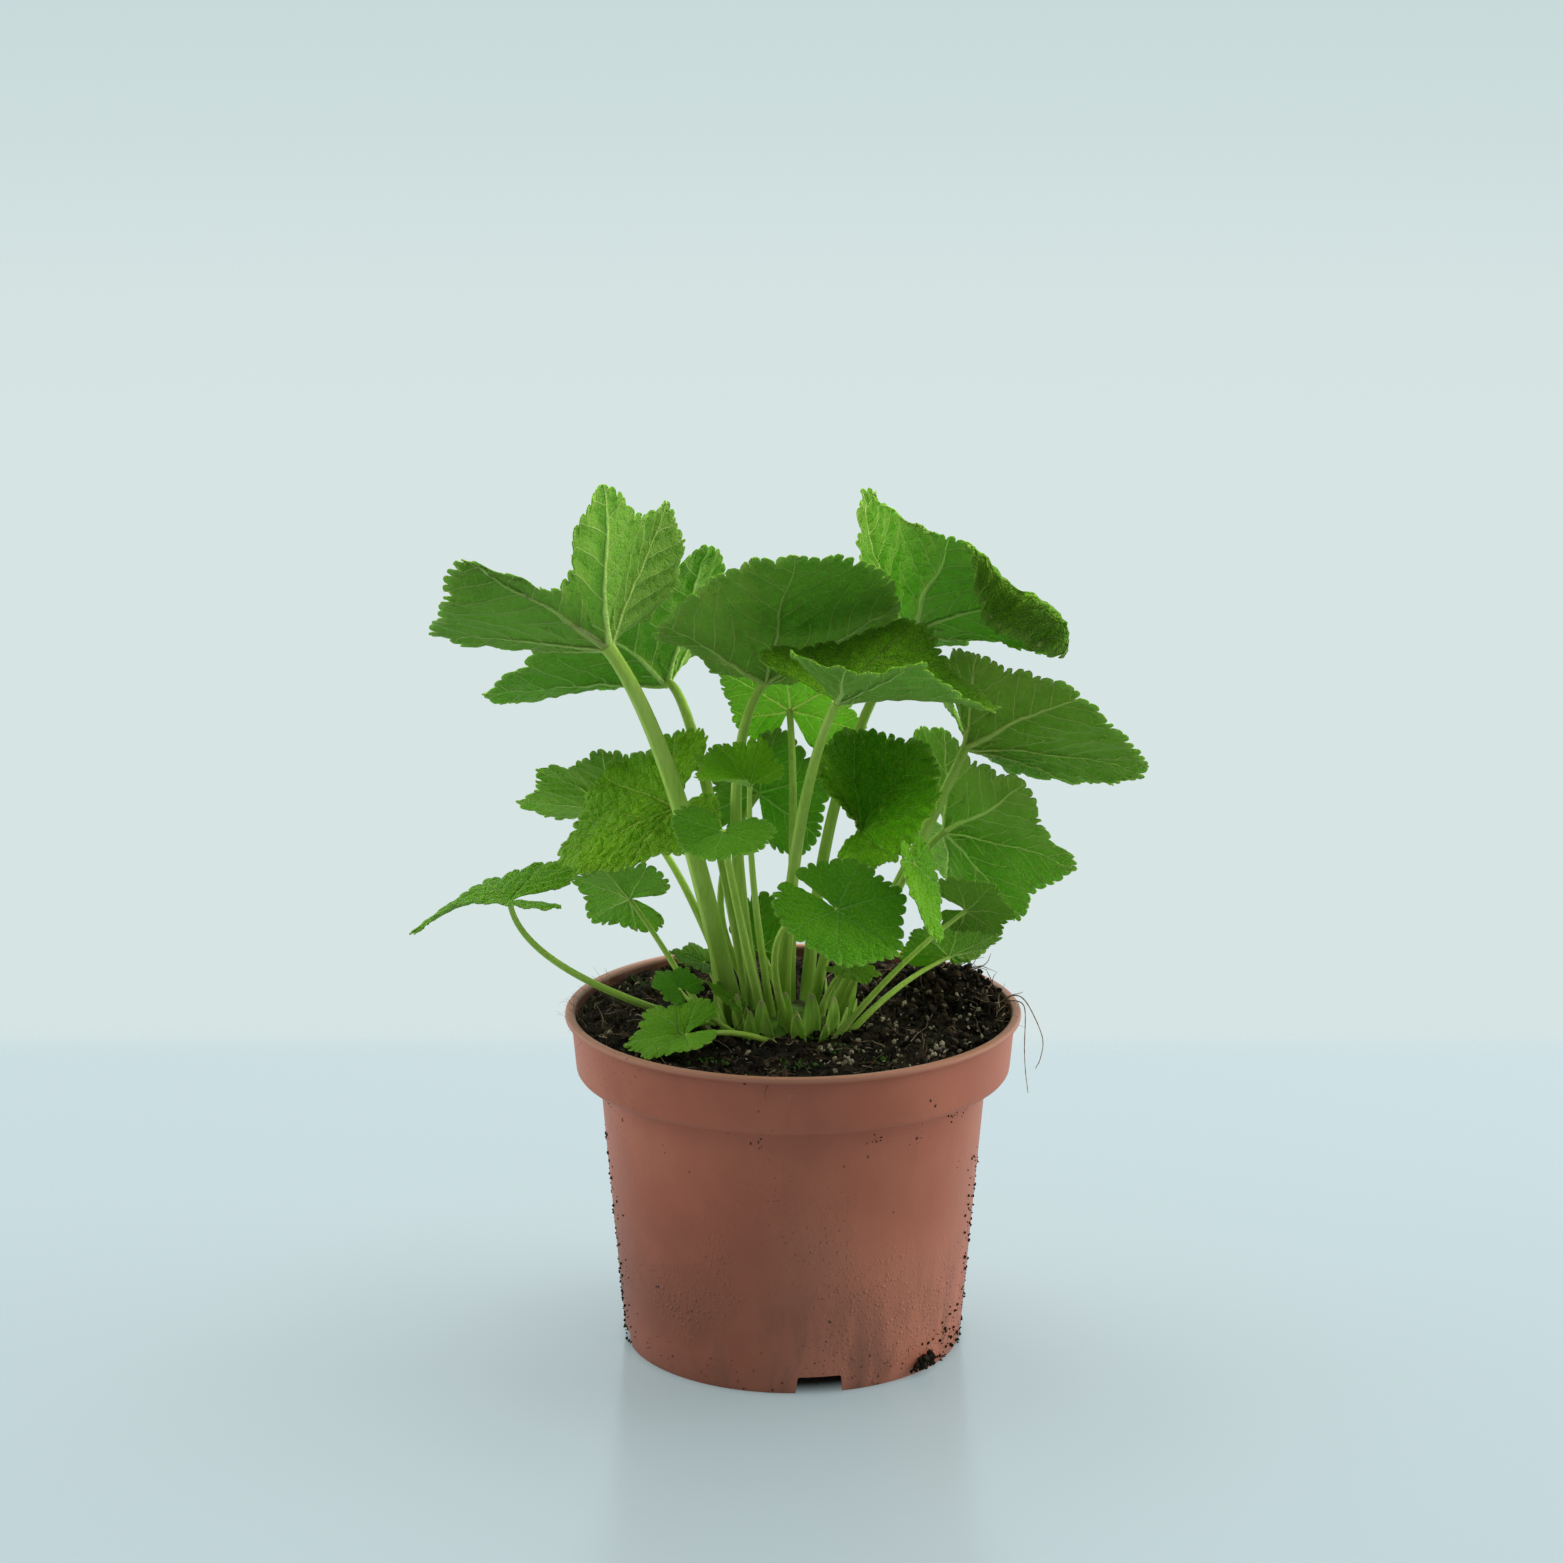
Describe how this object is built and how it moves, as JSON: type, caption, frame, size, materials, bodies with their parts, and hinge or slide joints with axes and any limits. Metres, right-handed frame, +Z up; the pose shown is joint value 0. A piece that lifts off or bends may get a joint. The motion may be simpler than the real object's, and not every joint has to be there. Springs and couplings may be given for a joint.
{
  "type": "potted hollyhock",
  "caption": "Young hollyhock with long-stalked lobed leaves, growing from a crown in peat soil in a round tapered plastic nursery pot.",
  "frame": {"origin": "centre of the pot's foot, on the surface that the pot stands on", "axes": "+Z up along the pot's turning axis, -Y towards the plant's front, +X to its right seen from the front"},
  "size_m": [0.2064, 0.1545, 0.2532],
  "materials": {
    "pot_plastic": "matte injection-moulded, dusty with soil specks",
    "peat_soil": "crumbly damp peat with pale fibres",
    "crown_skin": "matte fleshy rootstock",
    "leaf_blade": "satin, puckered, paler veins, lets light through",
    "young_leaf_blade": "satin, soft, paler veins, lets light through",
    "leaf_stalk": "ribbed, finely hairy, satin",
    "bud_scale": "pale papery green",
    "root_thread": "dry fibre"
  },
  "bodies": {
    "root": {"pot": "pot_plastic", "soil": "peat_soil", "crown": "crown_skin", "leaf_tall_left": "leaf_blade", "stalk_tall_left": "leaf_stalk", "leaf_tall_left_rear": "leaf_blade", "stalk_tall_left_rear": "leaf_stalk", "leaf_tall_centre": "leaf_blade", "stalk_tall_centre": "leaf_stalk", "leaf_tall_right": "leaf_blade", "stalk_tall_right": "leaf_stalk", "leaf_front_fold": "leaf_blade", "stalk_front_fold": "leaf_stalk", "leaf_right_upper": "leaf_blade", "stalk_right_upper": "leaf_stalk", "leaf_right_lower": "leaf_blade", "stalk_right_lower": "leaf_stalk", "leaf_centre_cup": "leaf_blade", "stalk_centre_cup": "leaf_stalk", "leaf_rear_high": "leaf_blade", "stalk_rear_high": "leaf_stalk", "leaf_rear_low": "leaf_blade", "stalk_rear_low": "leaf_stalk", "leaf_left_front": "leaf_blade", "stalk_left_front": "leaf_stalk", "leaf_left_rear": "leaf_blade", "stalk_left_rear": "leaf_stalk", "leaf_front_left": "young_leaf_blade", "stalk_front_left": "leaf_stalk", "leaf_front_curl": "young_leaf_blade", "stalk_front_curl": "leaf_stalk", "leaf_far_left": "leaf_blade", "stalk_far_left": "leaf_stalk", "leaf_left_heart": "young_leaf_blade", "stalk_left_heart": "leaf_stalk", "leaf_soil_left": "young_leaf_blade", "stalk_soil_left": "leaf_stalk", "leaf_front_low": "young_leaf_blade", "stalk_front_low": "leaf_stalk", "leaf_front_tiny": "young_leaf_blade", "stalk_front_tiny": "leaf_stalk", "leaf_bright_hanging": "young_leaf_blade", "stalk_bright_hanging": "leaf_stalk", "leaf_right_young": "young_leaf_blade", "stalk_right_young": "leaf_stalk", "leaf_right_under": "young_leaf_blade", "stalk_right_under": "leaf_stalk", "leaf_left_seedling": "young_leaf_blade", "stalk_left_seedling": "leaf_stalk", "leaf_left_bud": "young_leaf_blade", "stalk_left_bud": "leaf_stalk", "leaf_crown_upright": "young_leaf_blade", "stalk_crown_upright": "leaf_stalk", "leaf_crown_feather": "young_leaf_blade", "stalk_crown_feather": "leaf_stalk", "bud_scale_front": "bud_scale", "bud_scale_right": "bud_scale", "bud_scale_left": "bud_scale", "root_thread_long": "root_thread", "root_thread_short": "root_thread"}
  },
  "joints": []
}
